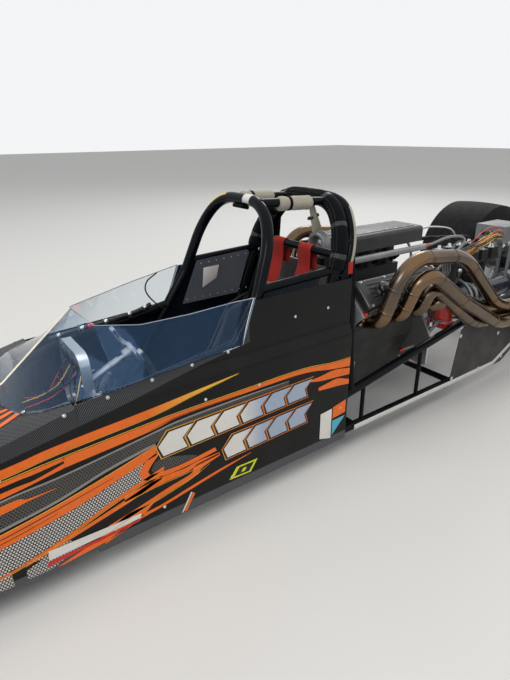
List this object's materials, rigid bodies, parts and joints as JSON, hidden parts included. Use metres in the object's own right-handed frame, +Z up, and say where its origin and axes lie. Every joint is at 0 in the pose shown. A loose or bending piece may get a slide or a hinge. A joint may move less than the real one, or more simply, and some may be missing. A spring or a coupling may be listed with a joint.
{
  "type": "drag racing car",
  "caption": "Rear-engined drag racing car with a long narrow nose, steered front wheels, open cockpit with roll cage and wide rear slicks.",
  "frame": {"origin": "centre of the footprint of the whole car, on the ground", "axes": "+X towards the nose, +Y towards the driver's left, +Z up"},
  "size_m": [6.72, 1.562, 1.1046],
  "materials": {
    "body_black": "gloss black over composite, with painted stripes and shapes",
    "frame_black": "gloss black on steel tube",
    "clear_shield": "clear polycarbonate with polished edges",
    "pad_foam": "beige fire-resistant sleeve over foam",
    "pad_black": "black padding cover over foam",
    "web_red": "red woven harness webbing",
    "seat_black": "black padded seat cover",
    "aluminium_panel": "formed sheet aluminium",
    "grey_panel": "grey satin panel",
    "column_steel": "machined steel",
    "engine_black": "black painted casting",
    "head_alloy": "cast aluminium",
    "cover_black": "satin black covers",
    "pipe_bronze": "heat-tinted stainless pipe",
    "filter_red": "red anodised ribbed can",
    "gearbox_alloy": "cast aluminium, dusty",
    "box_grey": "grey moulded box",
    "coil_black": "black moulded coils on a plate",
    "axle_steel": "machined steel",
    "rim_alloy": "polished spun aluminium",
    "tyre_rubber": "black racing tyre",
    "bay_black": "satin black panel"
  },
  "bodies": {
    "chassis": {"frame_left": "frame_black", "frame_right": "frame_black", "crossmembers": "frame_black", "front_hoop": "frame_black", "main_hoop": "frame_black", "cage_bars": "frame_black", "front_body": "body_black", "nose_cone": "body_black", "body_left": "body_black", "body_right": "body_black", "belly_pan": "aluminium_panel", "windshield": "clear_shield", "roof_pads": "pad_foam", "hoop_pads": "pad_black", "harness": "web_red", "seat": "seat_black", "side_liners": "grey_panel", "firewall": "aluminium_panel", "steering_column": "column_steel", "dash_hoop": "aluminium_panel", "pedals": "aluminium_panel", "engine_block": "engine_black", "cylinder_heads": "head_alloy", "valve_covers": "cover_black", "intake": "head_alloy", "headers": "pipe_bronze", "motor_plates": "aluminium_panel", "oil_filter": "filter_red", "transmission": "gearbox_alloy", "coil_rack": "coil_black", "control_box": "box_grey", "rear_housing": "gearbox_alloy", "bay_panels": "bay_black", "rear_bar": "frame_black", "front_axle": "frame_black"},
    "rear_axle": {"rear_axle": "axle_steel", "rear_rims": "rim_alloy", "rear_slicks": "tyre_rubber"},
    "left_knuckle": {"left_knuckle": "axle_steel"},
    "right_knuckle": {"right_knuckle": "axle_steel"},
    "tie_rod": {"tie_rod": "axle_steel"},
    "steering_wheel": {"steering_wheel": "column_steel"},
    "left_front_wheel": {"left_front_rim": "rim_alloy", "left_front_tyre": "tyre_rubber"},
    "right_front_wheel": {"right_front_rim": "rim_alloy", "right_front_tyre": "tyre_rubber"}
  },
  "joints": [
    {"name": "rear_axle_spin", "type": "hinge", "parent": "chassis", "child": "rear_axle", "pos_m": [-2.89, 0, 0.406], "axis": [0, 1, 0], "continuous": true},
    {"name": "left_steer", "type": "hinge", "parent": "chassis", "child": "left_knuckle", "pos_m": [3.01, 0.365, 0.28], "axis": [0, 0, 1], "range_deg": [-18, 18]},
    {"name": "right_steer", "type": "hinge", "parent": "chassis", "child": "right_knuckle", "pos_m": [3.01, -0.365, 0.28], "axis": [0, 0, 1], "range_deg": [-18, 18]},
    {"name": "tie_rod_swing", "type": "hinge", "parent": "left_knuckle", "child": "tie_rod", "pos_m": [2.9, 0.365, 0.2375], "axis": [0, 0, 1], "range_deg": [-18, 18]},
    {"name": "left_front_spin", "type": "hinge", "parent": "left_knuckle", "child": "left_front_wheel", "pos_m": [3.01, 0.44, 0.28], "axis": [0, 1, 0], "continuous": true},
    {"name": "right_front_spin", "type": "hinge", "parent": "right_knuckle", "child": "right_front_wheel", "pos_m": [3.01, -0.44, 0.28], "axis": [0, 1, 0], "continuous": true},
    {"name": "steering_wheel_turn", "type": "hinge", "parent": "chassis", "child": "steering_wheel", "pos_m": [0.12, 0, 0.6], "axis": [-0.9063, 0, 0.4226], "range_deg": [-144, 144]}
  ],
  "couplings": [
    {"joint": "right_steer", "follows": "left_steer", "ratio": 1},
    {"joint": "tie_rod_swing", "follows": "left_steer", "ratio": -1},
    {"joint": "steering_wheel_turn", "follows": "left_steer", "ratio": 8}
  ]
}
